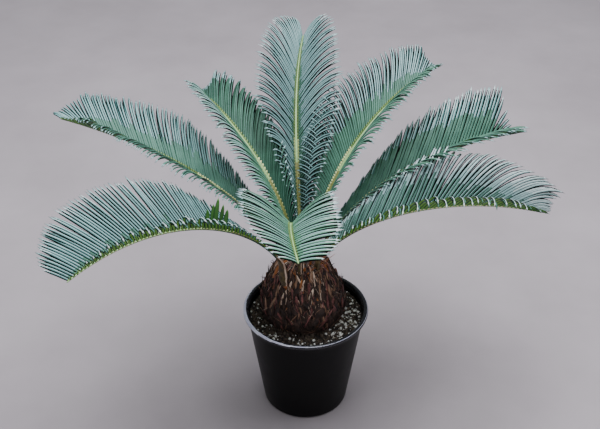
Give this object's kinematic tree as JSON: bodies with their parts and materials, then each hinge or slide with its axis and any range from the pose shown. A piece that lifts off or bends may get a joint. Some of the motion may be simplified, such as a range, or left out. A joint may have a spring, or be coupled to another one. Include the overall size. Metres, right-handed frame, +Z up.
{
  "type": "potted sago palm",
  "caption": "Young sago palm in a round black nursery pot: a stout shaggy trunk with arching feather fronds of stiff narrow leaflets.",
  "frame": {"origin": "centre of the pot's flat underside", "axes": "+Z up, -Y towards the front from which the picture is taken, +X to the right in the picture"},
  "size_m": [0.9723, 0.8396, 0.678],
  "materials": {
    "pot": "black moulded plastic, slightly glossy on the rolled rim",
    "potting_mix": "dark loose bark and peat with white perlite grains",
    "trunk": "dull brown fibrous leaf bases with orange brown strips at the crown",
    "frond": "waxy blue green leaflets, yellow green rib and dark green undersides"
  },
  "bodies": {
    "root": {"pot": "pot", "potting_mix": "potting_mix", "trunk": "trunk", "frond_front_left": "frond", "frond_left": "frond", "frond_back_left": "frond", "frond_back": "frond", "frond_back_right": "frond", "frond_right_high": "frond", "frond_right_low": "frond", "frond_front": "frond"}
  },
  "joints": []
}
